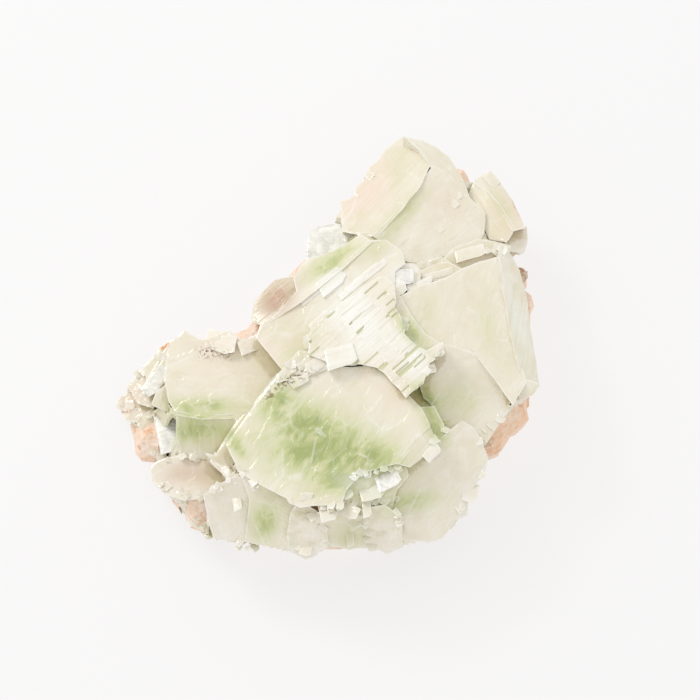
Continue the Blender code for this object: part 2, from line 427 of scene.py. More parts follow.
def outline_grid(outline, grid, levels):
    """A flat grid of cells inside an outline: its points, their levels, quads and which are on the border."""
    low = outline.min(axis=0) - grid
    counts = np.ceil((outline.max(axis=0) + grid - low) / grid).astype(int)
    i, j = np.indices(counts)
    filled = inside_outline(low[0] + (i + 0.5) * grid, low[1] + (j + 0.5) * grid, outline)
    (a, b, level), quads = used_points(filled, levels)
    wide = np.pad(filled, 1)
    around = wide[:-1, :-1] & wide[1:, :-1] & wide[:-1, 1:] & wide[1:, 1:]
    return low + np.stack([a, b], axis=1) * grid, level, quads, ~around[a, b]


def wall_lean(top, corners, depth):
    """How far a wall goes back for each mm down: the sight line's slope in front, less towards the back."""
    reach_back = np.ptp(corners[:, 1])
    back_share = np.clip((top[:, 1] - corners[:, 1].min()) / reach_back, 0.0, 1.0)
    least = max(0.0, BACK_LEAN - LEAN_ROOM * reach_back / depth)
    return BACK_LEAN + (least - BACK_LEAN) * back_share


def crystal_body(outline, plane, grain, depth, grid, seed, relief, ragged=RAGGED):
    """A closed body below an outline on a plane.

    Own coordinates run along the grain, across it, and up from the plane. Rim is the distance from the
    outline, a mark for painted shade lies in the gaps of the relief, and on_top tells the end face from the
    walls.
    """
    point, normal = face_plane(outline, *plane)
    corners = on_plane(outline, point, normal)
    along, across = face_axes(normal, grain)
    levels = max(int(depth / WALL_STEP), 1)
    border = moved_out(np.stack([(corners - point) @ along, (corners - point) @ across], axis=1), OVERLAP)
    flat, level, quads, on_border = outline_grid(border, grid, levels)
    spot, far = nearest_on_outline(flat, border)
    flat = np.where(on_border[:, None], spot, flat)
    rim = np.where(on_border, 0.0, far)
    zero = np.zeros(len(flat))
    inward = np.linalg.norm(flat, axis=1, keepdims=True)
    bite = ragged * (rough_noise(np.c_[flat, zero + seed], RAGGED_SIZE, seed + 3) - UNBITTEN)
    flat = flat - (on_border * np.maximum(bite, 0.0))[:, None] * flat / np.maximum(inward, TINY)
    bumps, drop = relief(np.c_[flat, zero], seed)
    down = bumps + RIM_DROP * np.exp(-rim / RIM_WIDTH)
    top = point + flat[:, :1] * along + flat[:, 1:] * across - down[:, None] * normal
    depth = min(depth, corners[:, 2].min() - LOWEST)
    sink = depth * (1.0 - level / levels)
    points = top + np.stack([zero, sink * wall_lean(top, corners, depth), -sink], axis=1)
    ribs = growth_steps(np.c_[flat[:, 0] + flat[:, 1], sink, zero], seed + 9, RIB_CELL, RIB_SPREAD, 3)
    on_top = level == levels
    pull = (on_border & ~on_top) * RIB_CUT * ribs
    points[:, :2] -= pull[:, None] * (points[:, :2] - point[:2]) / np.maximum(inward, 1.0)
    rim = np.where(on_top, rim, np.minimum(rim + sink, FAR_FROM_RIM))
    return Body(points, quads, np.c_[flat, -down - sink], rim, drop * on_top, on_top)


print("crystal body ready")

# %% Kinds of end face
SWELLS = ((0.35, 9.0), (0.10, 2.6))
LAYER_RISE = 0.22
LAYER_CELL, LAYER_SPREAD = (0.5, 0.5), (15.0, 5.0)
PLATE_BASE = -0.7
PLATE_LENGTH = 5.2
PLATE_LAYERS = 4
# Plates are given by their width, the spread of their heights' noise, and their rise.
BROAD_PLATES = (2.4, (8.0, 3.6), 0.45)
NARROW_PLATES = (0.48, (2.4, 0.3), 0.25)
PLATE_WANDER = np.array([1.6, 0.48, 0.0])
WANDER_LENGTH, GAP_PATCH = 4.0, 6.0
GAP_BELOW, GAP_LEAST = 0.2, 0.36
# These marks set how much painted shade lies in the gaps, beside each step edge and in the rib grooves.
GAP_DEPTH, GAP_MARK = 0.35, 0.9
BESIDE = np.array([0.0, 0.4, 0.0])
BESIDE_LEAST, BESIDE_FULL, BESIDE_MARK = 0.12, 0.5, 0.5
RIBS_CELL, RIBS_SPREAD = (9.0, 0.5), (30.0, 1.6)
RIBS_SWELL, RIBS_SWELL_SIZE = 0.30, 8.0
RIBS_RISE, RIBS_MARK = 0.22, 0.25
BROKEN_SIZE, BROKEN_RISE = 3.2, 1.5
BROKEN_CELL, BROKEN_SPREAD, BROKEN_STEPS = (0.8, 0.8), (4.0, 4.0), 0.5


def gentle(flat, seed):
    """A nearly flat face: a slow swell and a few low growth layers."""
    swell = sum(rise * value_noise(flat, size, seed + i) for i, (rise, size) in enumerate(SWELLS))
    layers = LAYER_RISE * (1.0 - growth_steps(flat, seed + 2, LAYER_CELL, LAYER_SPREAD, 3))
    return swell + layers, np.zeros(len(flat))


def terrace_height(flat, seed):
    """Plates of layers with long straight edges, and the narrow gaps that are left between them."""
    moved = flat + (value_noise(flat, WANDER_LENGTH, seed + 7) - 0.5)[:, None] * PLATE_WANDER
    height = np.full(len(flat), PLATE_BASE)
    for i, (width, spread, rise) in enumerate((BROAD_PLATES, NARROW_PLATES)):
        plates = growth_steps(moved, seed + i, (PLATE_LENGTH, width), spread, PLATE_LAYERS)
        height += rise * plates
    gap = (plates < GAP_BELOW) & (value_noise(flat, GAP_PATCH, seed + 5) > GAP_LEAST)
    return height - GAP_DEPTH * gap, gap


def terraced(flat, seed):
    """A stair of thin plates, and painted shade in the gaps and beside each edge."""
    height, gap = terrace_height(flat, seed)
    step = terrace_height(flat + BESIDE, seed)[0] - height
    return -height, np.maximum(np.clip((step - BESIDE_LEAST) / BESIDE_FULL, 0.0, BESIDE_MARK), GAP_MARK * gap)


def ribbed(flat, seed):
    """Fine ribs along the grain on a slow swell, as on a prism side, with painted shade in their grooves."""
    ribs = growth_steps(flat, seed, RIBS_CELL, RIBS_SPREAD, 3)
    return RIBS_SWELL * value_noise(flat, RIBS_SWELL_SIZE, seed) + RIBS_RISE * ribs, RIBS_MARK * ribs


def broken(flat, seed):
    """A rough broken end: several layers of noise with steps, and painted shade in its deepest pits."""
    rough = rough_noise(flat, BROKEN_SIZE, seed)
    steps = BROKEN_STEPS * growth_steps(flat, seed + 5, BROKEN_CELL, BROKEN_SPREAD, 3)
    return BROKEN_RISE * rough + steps, np.clip(1.6 * rough - 1.0, 0.0, 1.0)


RELIEFS = {"gentle": gentle, "terraced": terraced, "ribbed": ribbed, "broken": broken}
print(len(RELIEFS), "kinds of end face")

# %% [markdown]
# ## The crystals
# One entry for each crystal face that shows: its plane, the direction of its grain in degrees, how deep the
# body goes, the kind of end face, and its outline in picture points.

# %% List the crystals
FACES = {
    "upper_left": ((35.7, 0.263, -0.284), 47, 22, "ribbed", (
        (343, 230), (342, 214), (341, 201), (350, 199), (356, 195), (356, 187), (368, 177), (369, 167),
        (380, 158), (385, 150), (397, 140), (405, 136), (420, 147), (431, 160), (419, 186), (400, 210),
        (376, 236), (360, 233),
    )),
    "upper_right": ((37, -0.25, 0.05), 40, 22, "gentle", (
        (374, 235), (400, 209), (419, 185), (434, 166), (447, 172), (460, 186), (470, 198), (485, 213),
        (484, 232), (478, 241), (455, 250), (440, 256), (424, 263), (404, 259), (392, 246),
    )),
    "upper_bevel": ((37.32, -0.324, -0.039), -42, 18, "ribbed", (
        (405, 136), (422, 140), (436, 147), (449, 157), (461, 176), (471, 199), (459, 188), (447, 174),
        (433, 168), (420, 148),
    )),
    "side_top": ((33, -0.1, -0.1), -58, 20, "ribbed", (
        (474, 181), (487, 172), (494, 174), (512, 200), (524, 227), (513, 230), (500, 207), (486, 191),
    )),
    "side_front": ((32.51, 0.306, 0.16), -58, 18, "ribbed", (
        (468, 197), (475, 180), (486, 190), (500, 206), (514, 229), (506, 241), (490, 238), (482, 222),
    )),
    "side_low": ((28.5, -0.1, 0.1), 0, 17, "gentle", (
        (489, 237), (504, 243), (517, 231), (526, 227), (527, 240), (524, 249), (508, 249), (495, 245),
    )),
    "right_ledge": ((36, -0.05, 0.35), 14, 18, "gentle", (
        (440, 262), (455, 248), (478, 240), (495, 242), (510, 247), (503, 260), (482, 264), (460, 272),
        (446, 276),
    )),
    "thin_blade": ((41, 0.0, 0.1), 18, 16, "ribbed", (
        (396, 297), (406, 290), (415, 285), (430, 280), (446, 277), (461, 269), (448, 262), (430, 267),
        (419, 272), (421, 281), (406, 291),
    )),
    "white_chip": ((44, 0.0, 0.1), 0, 14, "gentle", (
        (391, 272), (400, 264), (412, 264), (420, 270), (419, 280), (410, 286), (398, 284), (392, 279),
    )),
    "upper_foot": ((38, 0.0, 0.2), 20, 16, "broken", (
        (398, 256), (424, 262), (442, 256), (449, 262), (430, 270), (420, 274), (410, 265), (402, 264),
    )),
    "right_face": ((43, -0.08, 0.06), 68, 20, "gentle", (
        (400, 297), (420, 286), (445, 279), (460, 270), (480, 262), (499, 257), (502, 272), (506, 300),
        (512, 335), (518, 360), (526, 381), (513, 403), (496, 379), (478, 356), (458, 349), (440, 345),
        (425, 335), (410, 315),
    )),
    "right_side": ((40.51, -0.732, -0.053), 80, 20, "ribbed", (
        (498, 258), (503, 245), (512, 256), (520, 270), (527, 300), (531, 330), (536, 360), (539, 385),
        (525, 382), (518, 360), (512, 335), (506, 300), (501, 272),
    )),
    "right_wedge": ((40.03, 0.185, 0.544), -45, 18, "ribbed", (
        (472, 350), (500, 371), (525, 380), (539, 385), (533, 394), (513, 404), (495, 386),
    )),
    "right_lower": ((39.78, -0.164, 0.268), 30, 20, "gentle", (
        (424, 334), (440, 344), (458, 348), (478, 355), (495, 384), (514, 403), (506, 413), (497, 425),
        (487, 441), (475, 431), (463, 422), (450, 432), (442, 424), (436, 408), (425, 397), (419, 380),
        (427, 362),
    )),
    "gully": ((46, -0.15, 0.0), 60, 18, "ribbed", (
        (390, 288), (400, 296), (410, 314), (425, 334), (442, 344), (440, 352), (424, 354), (414, 346),
        (404, 330), (396, 312),
    )),
    "terraced_face": ((50, 0.06, -0.04), 41, 24, "terraced", (
        (309, 353), (311, 331), (325, 315), (335, 310), (341, 303), (350, 297), (358, 294), (363, 287),
        (372, 281), (379, 277), (386, 277), (393, 284), (395, 300), (393, 305), (399, 315), (402, 323),
        (405, 325), (403, 333), (410, 341), (418, 347), (427, 351), (442, 343), (443, 352), (428, 362),
        (426, 370), (422, 383), (412, 390), (406, 396), (400, 387), (393, 381), (386, 372), (378, 366),
        (360, 362), (340, 364), (322, 358),
    )),
    "ridge_left": ((46, 0.0, 0.02), 41, 22, "gentle", (
        (257, 337), (261, 325), (280, 312), (300, 300), (320, 285), (345, 263), (370, 240), (386, 240),
        (400, 250), (404, 262), (394, 270), (393, 290), (380, 292), (341, 310), (318, 332), (312, 360),
        (299, 353), (283, 369),
    )),
    "ridge_side": ((43.52, 0.428, -0.483), 38, 16, "gentle", (
        (259, 327), (300, 301), (345, 264), (371, 241), (360, 234), (340, 247), (320, 255), (308, 258),
        (301, 265), (294, 277), (297, 290), (282, 306),
    )),
    "back_clear": ((31, 0.1, -0.1), 20, 14, "gentle", (
        (307, 259), (308, 240), (312, 231), (320, 226), (335, 223), (350, 225), (362, 232), (361, 240),
        (341, 249), (322, 257),
    )),
    "back_smoky": ((29, 0.25, -0.1), 40, 14, "ribbed", (
        (252, 321), (254, 303), (266, 288), (275, 280), (292, 276), (299, 281), (302, 292), (286, 308),
        (264, 324),
    )),
    "upper_crack": ((40, 0.0, 0.0), 30, 14, "gentle", (
        (356, 232), (374, 232), (388, 241), (372, 245),
    )),
    "left_face": ((35, 0.05, 0.12), 2, 22, "gentle", (
        (166, 364), (169, 343), (178, 337), (184, 331), (198, 339), (204, 340), (224, 332), (230, 331),
        (233, 335), (243, 341), (260, 333), (273, 353), (284, 368), (270, 386), (250, 411), (230, 417),
        (200, 418), (178, 414), (169, 400), (165, 380),
    )),
    "left_front": ((27.96, 0.147, 1.085), 88, 12, "ribbed", (
        (177, 412), (200, 417), (231, 415), (239, 420), (226, 440), (216, 459), (200, 459), (182, 457),
        (177, 435),
    )),
    "left_crack": ((33.32, 0.116, 0.068), 53, 14, "ribbed", (
        (229, 415), (250, 410), (274, 378), (285, 366), (268, 396), (246, 426), (229, 446), (222, 463),
        (214, 459), (225, 440), (238, 420),
    )),
    "left_foot": ((16, 0.0, 0.4), 60, 12, "broken", (
        (136, 420), (152, 410), (158, 430), (163, 450), (167, 461), (155, 456), (147, 440),
    )),
    "far_left_1": ((25, 0.1, 0.1), 60, 14, "ribbed", (
        (144, 366), (157, 353), (160, 348), (169, 341), (171, 360), (167, 386), (155, 393), (147, 380),
    )),
    "far_left_2": ((21, 0.1, 0.1), 60, 14, "broken", (
        (127, 384), (138, 373), (145, 365), (149, 380), (156, 392), (152, 406), (138, 402),
    )),
    "far_left_3": ((17, 0.1, 0.1), 20, 12, "broken", (
        (116, 404), (118, 399), (126, 393), (128, 383), (139, 400), (152, 404), (154, 412), (137, 421),
        (125, 418), (121, 410),
    )),
    "far_left_4": ((27, 0.1, 0.5), 80, 14, "ribbed", (
        (152, 404), (157, 392), (167, 385), (170, 402), (177, 414), (165, 410),
    )),
    "left_slab": ((20, 0.1, 0.15), 8, 14, "gentle", (
        (151, 468), (157, 462), (165, 459), (183, 455), (206, 457), (229, 470), (223, 486), (206, 496),
        (190, 499), (182, 499), (165, 493), (158, 484), (152, 480),
    )),
    "left_strips": ((33, 0.3, 0.6), -40, 14, "ribbed", (
        (204, 453), (216, 457), (226, 443), (242, 470), (240, 486), (228, 472),
    )),
    "front_chip": ((14, 0.0, 0.4), 60, 10, "broken", (
        (180, 504), (186, 497), (206, 493), (217, 500), (213, 520), (216, 539), (204, 531), (190, 524),
        (185, 510),
    )),
    "front_1": ((33.5, 0.15, 1.2), 85, 14, "gentle", (
        (204, 496), (222, 484), (236, 478), (248, 480), (251, 500), (249, 520), (246, 542), (231, 541),
        (214, 539), (209, 520),
    )),
    "front_2": ((36.0, 0.5, 1.2), 88, 16, "gentle", (
        (238, 467), (262, 481), (285, 493), (301, 504), (293, 516), (291, 530), (289, 549), (275, 548),
        (255, 544), (245, 542), (248, 520), (250, 500), (243, 480),
    )),
    "front_3": ((35.0, 0.1, 1.3), 80, 14, "broken", (
        (291, 516), (299, 503), (310, 510), (322, 519), (326, 535), (322, 548), (315, 558), (305, 561),
        (297, 557), (289, 551), (288, 535),
    )),
    "front_4": ((35.5, -0.1, 1.5), 88, 14, "gentle", (
        (318, 514), (340, 512), (355, 516), (369, 520), (371, 546), (350, 550), (340, 547), (327, 544),
        (324, 535),
    )),
    "front_5": ((34.5, -0.1, 1.3), 80, 14, "broken", (
        (363, 512), (385, 508), (401, 518), (402, 549), (394, 553), (387, 556), (380, 552), (369, 546),
        (367, 525),
    )),
    "middle_face": ((46, 0.05, 0.02), 53, 24, "gentle", (
        (227, 444), (250, 412), (270, 385), (283, 369), (300, 356), (312, 360), (325, 366), (350, 368),
        (378, 366), (388, 370), (400, 385), (410, 397), (421, 409), (429, 425), (413, 442), (400, 462),
        (385, 465), (368, 470), (355, 478), (345, 490), (341, 503), (320, 504), (300, 506), (285, 496),
        (262, 484), (240, 471),
    )),
    "upper_rim": ((47.5, 0.05, 0.05), 40, 14, "broken", (
        (280, 372), (299, 350), (312, 352), (324, 357), (326, 367), (312, 372), (300, 379), (286, 378),
        (277, 381),
    )),
    "dark_gap": ((40, 0.0, 0.0), 60, 12, "gentle", (
        (406, 396), (412, 387), (424, 382), (437, 401), (434, 410), (424, 411),
    )),
    "small_olive": ((43, -0.1, 0.3), -60, 16, "gentle", (
        (420, 408), (434, 407), (443, 424), (447, 440), (436, 448), (429, 441), (427, 424),
    )),
    "lower_right": ((36.5, -0.25, 0.5), 40, 20, "gentle", (
        (386, 492), (398, 480), (412, 460), (425, 452), (433, 447), (450, 432), (463, 422), (475, 430),
        (482, 444), (488, 460), (480, 470), (478, 480), (473, 487), (468, 500), (466, 515), (455, 520),
        (447, 531), (442, 538), (430, 541), (399, 539), (397, 520), (388, 508),
    )),
    "between": ((46.21, -0.21, 0.204), 50, 16, "ribbed", (
        (398, 463), (413, 441), (428, 424), (438, 446), (425, 454), (410, 466),
    )),
    "lower_middle": ((42.8, -0.18, 0.5), 30, 16, "broken", (
        (340, 502), (345, 488), (356, 476), (385, 463), (404, 460), (408, 476), (396, 490), (392, 510),
        (375, 514), (355, 517), (335, 514),
    )),
}
print(len(FACES), "crystals")

# %% [markdown]
# ## What the surface knows about its surroundings
# Shade is painted in hollows, where light dies and some dirt gathers. To find them, all the crystals' points
# are laid on a map seen from above that keeps the highest point in each small square. A point that lies
# below the average of the map around it is in a hollow.

# %% A map of heights
MAP_STEP = 0.5
MAP_HALF = 80.0
BESIDE_SQUARES = ((1, 0), (-1, 0), (0, 1), (0, -1))


def map_place(points):
    """The square of the map that each point is in."""
    return tuple(((points[..., :2] + MAP_HALF) / MAP_STEP).astype(int).T)


def height_map(points):
    """The highest point in each square of a plan, with empty squares taken from their neighbours."""
    count = int(2 * MAP_HALF / MAP_STEP)
    heights = np.zeros((count, count))
    np.maximum.at(heights, map_place(points), points[:, 2])
    beside = np.max([np.roll(heights, step, axis=(0, 1)) for step in BESIDE_SQUARES], axis=0)
    return np.where(heights == 0, beside, heights)


def blurred(heights, reach):
    """The average over a square of the given reach, from running sums along both directions."""
    steps = int(round(reach / MAP_STEP))
    for axis in (0, 1):
        total = np.cumsum(heights, axis=axis)
        heights = (np.roll(total, -steps, axis=axis) - np.roll(total, steps + 1, axis=axis)) / (2 * steps + 1)
    return heights


def hollow(points, average, full):
    """0 at or above the average height around a point, 1 where the point lies the full depth below it."""
    return np.clip((average[map_place(points)] - points[:, 2]) / full, 0.0, 1.0)


print("height map ready")

# %% [markdown]
# ## Colour zones
# The green of this apophyllite sits in the hearts of the crystals, with cream and white outside. A zone is
# a soft oval in picture points that runs through the crystals. Its numbers are its middle's place right and
# down, its reach along and across its own direction, that direction in degrees, and its strength.

# %% List the zones
ZONES = {
    # Ovals of painted olive shade.
    "wide": (
        (405, 200, 24, 34, 40, 0.3), (452, 262, 34, 10, 15, 0.55), (503, 220, 10, 26, -30, 0.5),
        (512, 352, 12, 34, 0, 0.45), (460, 395, 34, 26, 0, 0.15), (284, 336, 24, 24, 0, 0.35),
        (300, 330, 26, 30, 40, 0.35), (250, 395, 26, 26, 0, 0.45), (226, 445, 10, 26, -30, 0.9),
        (262, 462, 24, 26, 0, 0.3), (420, 470, 20, 26, 30, 0.4), (195, 478, 34, 14, 0, 0.4),
        (262, 520, 20, 24, 0, 0.3), (345, 262, 34, 16, 35, 0.35), (424, 392, 16, 16, 0, 0.6),
    ),
    "green": (
        (306, 436, 26, 30, -35, 0.8), (338, 448, 64, 36, -22, 0.78), (372, 460, 30, 18, 0, 0.4),
        (280, 400, 20, 12, 50, 0.8), (335, 482, 30, 18, 0, 0.6), (262, 450, 16, 34, 30, 0.25),
        (410, 330, 24, 8, -52, 0.95), (424, 395, 14, 10, -60, 0.95), (200, 406, 38, 9, 0, 0.65),
        (195, 430, 28, 16, 0, 0.95), (265, 520, 18, 24, 0, 0.8), (348, 534, 22, 16, 0, 0.4),
        (412, 503, 34, 13, 10, 0.5), (436, 428, 9, 20, 30, 0.8), (330, 262, 30, 10, 35, 0.85),
        (375, 252, 18, 10, 20, 0.3), (404, 216, 40, 9, 45, 0.5), (398, 170, 14, 22, -10, 0.25),
        (500, 205, 10, 24, 30, 0.35), (518, 330, 6, 44, 10, 0.3), (455, 400, 30, 24, 0, 0.4),
        (490, 330, 16, 34, 10, 0.25), (425, 310, 12, 20, 0, 0.3), (238, 448, 8, 20, 25, 0.7),
        (305, 345, 30, 14, 40, 0.25),
    ),
    "peach": (
        (366, 192, 24, 40, -45, 0.85), (206, 372, 36, 14, 0, 0.25), (500, 205, 16, 32, 30, 0.4),
        (190, 480, 30, 14, 0, 0.4), (395, 400, 30, 16, -30, 0.2), (445, 205, 20, 30, 20, 0.3),
        (225, 345, 45, 10, 0, 0.45), (135, 400, 22, 18, 30, 0.6), (268, 355, 8, 18, 0, 0.4),
        (510, 215, 14, 24, 30, 0.35), (380, 385, 30, 12, 0, 0.15), (295, 340, 14, 14, 0, 0.2),
    ),
    # The white ovals on the terraced face paint its pearly sheen as well as milky white; the rest are milky
    # veils.
    "white": (
        (362, 322, 46, 32, -40, 0.9), (357, 280, 40, 14, 38, 0.25), (415, 362, 16, 22, 0, 0.7),
        (331, 281, 15, 9, 30, 0.9), (405, 274, 18, 11, 0, 0.9), (330, 225, 22, 12, 0, 0.8),
        (360, 482, 30, 14, 0, 0.6), (340, 372, 22, 9, 0, 0.4), (515, 315, 66, 8, -79, 0.85),
        (520, 386, 20, 8, 15, 0.5), (450, 470, 26, 30, 0, 0.25), (440, 180, 12, 26, -30, 0.3),
        (225, 480, 12, 20, 0, 0.4),
    ),
    "smoky": (
        (276, 298, 24, 15, 35, 0.95), (190, 472, 34, 12, 0, 0.35),
    ),
    "rust": (
        (520, 210, 5, 15, 30, 1.0), (164, 345, 7, 4, 40, 1.0), (474, 163, 14, 4, -35, 0.8),
        (128, 412, 10, 6, 0, 0.35), (533, 290, 3, 20, 0, 0.6),
    ),
    "iron": (
        (518, 207, 4, 9, 30, 0.9), (165, 344, 5, 3, 40, 0.9), (207, 353, 9, 6, 0, 1.0),
        (226, 355, 7, 4, 0, 0.8), (292, 381, 22, 5, 22, 1.0), (270, 398, 8, 5, 45, 0.7),
    ),
}
ZONE_WANDER = 9.0
WANDER_SIZE = 9.0
WANDER_SEEDS = (41, 47)


def picture_place(points):
    """Where points appear in the picture: right and down from its top left, in picture points."""
    away = points - CAMERA_PLACE
    ratio = VIEW_DISTANCE / (away @ -TOWARDS_CAMERA) / PIXEL
    right, up = away @ PICTURE_RIGHT * ratio, away @ PICTURE_UP * ratio
    return np.stack([PICTURE_SIZE / 2 + right, PICTURE_SIZE / 2 - up], axis=1)


def in_zones(points):
    """For each mark, soft ovals added up: each is its strength times exp of minus the squared distance."""
    wander = np.stack([rough_noise(points, WANDER_SIZE, seed) - 0.5 for seed in WANDER_SEEDS], axis=1)
    place = picture_place(points) + ZONE_WANDER * wander
    shares = {}
    for mark, ovals in ZONES.items():
        total = np.zeros(len(points))
        for right, down, reach_along, reach_across, turn, strength in ovals:
            along, across = turned(*(place - (right, down)).T, turn)
            total += strength * np.exp(-((along / reach_along) ** 2) - (across / reach_across) ** 2)
        shares[mark] = np.clip(total, 0.0, 1.0)
    return shares


print(sum(len(ovals) for ovals in ZONES.values()), "zones listed")

# %% [markdown]
# ## From arrays to a mesh
# foreach_set fills a mesh straight from arrays, which is much faster than a loop over points. Every point
# carries numbers, the marks, that the crystal materials read.

# %% Make a piece from arrays
EDGE_WIDTH = 0.5
# The hollows found with these get painted shade: darker in the near ones, olive in the wide ones.
NEAR_REACH, NEAR_DEPTH = 2.0, 1.6
WIDE_REACH, WIDE_DEPTH = 7.0, 7.0


def make_piece(name, points, quads, marks):
    """A mesh object of quads whose points, given in mm, carry the named numbers in marks."""
    mesh = bpy.data.meshes.new(name)
    mesh.vertices.add(len(points))
    mesh.vertices.foreach_set("co", (points * MM).astype(np.float32).ravel())
    mesh.loops.add(quads.size)
    mesh.loops.foreach_set("vertex_index", quads.astype(np.int32).ravel())
    mesh.polygons.add(len(quads))
    mesh.polygons.foreach_set("loop_start", np.arange(0, quads.size, quads.shape[1], dtype=np.int32))
    mesh.polygons.foreach_set("use_smooth", np.zeros(len(quads), bool))
    mesh.update(calc_edges=True)
    for key, values in marks.items():
        values = np.asarray(values, np.float32)
        kind, field = ("FLOAT_VECTOR", "vector") if values.ndim == 2 else ("FLOAT", "value")
        mesh.attributes.new(key, kind, "POINT").data.foreach_set(field, values.ravel())
    mesh.validate()
    piece = bpy.data.objects.new(name, mesh)
    bpy.context.scene.collection.objects.link(piece)
    return piece


def marks_for(body, near_map, wide_map, tint):
    """The numbers that the crystal materials read; wide, for painted olive shade, is the larger of the
    hollows and its zones.
    """
    marks = {
        "own": body.own * MM,
        "edge": np.exp(-body.rim / EDGE_WIDTH),
        "near": hollow(body.points, near_map, NEAR_DEPTH),
        "line": body.drop,
        **in_zones(body.points),
        "tint": np.full(len(body.points), tint),
    }
    marks["wide"] = np.maximum(marks["wide"], hollow(body.points, wide_map, WIDE_DEPTH))
    return marks


def joined(parts):
    """Puts several (points, quads, marks) together as one."""
    starts = np.cumsum([0] + [len(points) for points, _, _ in parts])
    quads = np.concatenate([part[1] + start for part, start in zip(parts, starts)])
    marks = {key: np.concatenate([part[2][key] for part in parts]) for key in parts[0][2]}
    return np.concatenate([part[0] for part in parts]), quads, marks


print("mesh helpers ready")

# %% [markdown]
# ## The crystal material
# Most of this apophyllite is cloudy, with soft colours under a glassy skin. The numbers stored on the points
# place the green hearts, the white veils with a painted pearly sheen on the terraced face, the painted olive
# shade of the hollows, painted shade in the gaps of the relief, and a painted highlight on the worn edges.
# Noise in the crystal's own coordinates adds clouds, fibres along the grain and healed cracks.

# %% Cloudy apophyllite
CREAM = (0.84, 0.775, 0.645)
PALE = (0.91, 0.875, 0.80)
BEIGE = (0.80, 0.735, 0.565)
GREEN = (0.60, 0.63, 0.33)
DEEP_GREEN = (0.36, 0.42, 0.15)
PEACH = (0.86, 0.70, 0.58)
WHITE = (0.94, 0.935, 0.89)
SMOKY = (0.52, 0.31, 0.21)
# Painted olive shade for the hollows, also used as a random tone in the mottle.
OLIVE = (0.70, 0.63, 0.38)
# Painted shade for the hollows, with some dirt.
HOLLOW_SHADE_AND_DIRT = (0.46, 0.38, 0.17)
IRON = (0.16, 0.06, 0.02)
RUST = (0.72, 0.30, 0.13)
HAZE = (0.83, 0.80, 0.58)
# Painted shade in the gaps and grooves of the relief.
GAP_SHADE_COLOUR = (0.64, 0.65, 0.39)
CRYSTAL_IOR = 1.535
# A noise is its scale, detail, roughness and warp. Four of them start with a stretch of own coordinates.
CLOUDS = ((1.0, 1.3, 0.6), 70.0, 6.0, 0.62, 0.9)
MOTTLE = ((0.6, 1.0, 0.6), 190.0, 5.0, 0.65, 1.2)
STREAKS = ((0.4, 1.6, 0.5), 260.0, 5.0, 0.65, 0.8)
FIBRES = ((0.3, 1.5, 0.12), 700.0, 3.0, 0.6)
FINE = (420.0, 4.0, 0.6)
SPECKS = (1100.0, 3.0, 0.6)
CRACK_STRETCH, CRACK_SCALE, CRACK_WIDTH = (0.7, 1.2, 0.5), 95.0, 0.035
FIBRE_HEIGHT, FIBRE_STRENGTH = 0.00012, 0.5


def own_place(graph, stretch):
    """The crystal's own coordinates, stretched."""
    return graph.add("ShaderNodeMapping", Vector=graph.attribute("own", "Vector"), Scale=stretch).outputs[0]


def own_noise(graph, stretch, *settings):
    """Noise in the crystal's own coordinates."""
    return graph.noise(own_place(graph, stretch), *settings)


def crystal_colour(graph, clouds):
    """From cream to pale in clouds, then haze, the zones in turn, among them painted olive shade, and white
    streaks.
    """
    mottle, streaks = own_noise(graph, *MOTTLE), own_noise(graph, *STREAKS)
    colour = graph.mix(graph.ramp(clouds, 0.36, 0.64), CREAM, PALE)
    colour = graph.over(colour, BEIGE, graph.attribute("tint"), 0.0, 1.0, 0.5)
    colour = graph.over(colour, HAZE, mottle, 0.50, 0.68, 0.5)
    peach = graph.product(graph.attribute("peach"), graph.ramp(clouds, 0.2, 0.7, 0.5, 1.2))
    colour = graph.mix(peach, colour, PEACH)
    # Painted olive shade in the hollows and in the shade zones.
    colour = graph.over(colour, OLIVE, graph.attribute("wide"), 0.18, 1.0, 0.65)
    green = graph.product(graph.attribute("green"), graph.ramp(mottle, 0.30, 0.62, 0.55, 1.25))
    colour = graph.over(colour, GREEN, green, 0.05, 0.7)
    colour = graph.over(colour, DEEP_GREEN, green, 0.60, 1.1, 0.9)
    colour = graph.over(colour, WHITE, streaks, 0.54, 0.72, 0.28)
    colour = graph.over(colour, OLIVE, mottle, 0.46, 0.28, 0.38)
    # White veils; on the terraced face this is also a painted pearly sheen.
    white = graph.product(graph.attribute("white"), graph.ramp(mottle, 0.3, 0.6, 0.6, 1.1))
    colour = graph.over(colour, WHITE, white, 0.2, 0.9, 0.85)
    colour = graph.mix(graph.attribute("smoky"), colour, SMOKY)
    return graph.over(colour, RUST, graph.attribute("rust"), 0.25, 0.6)


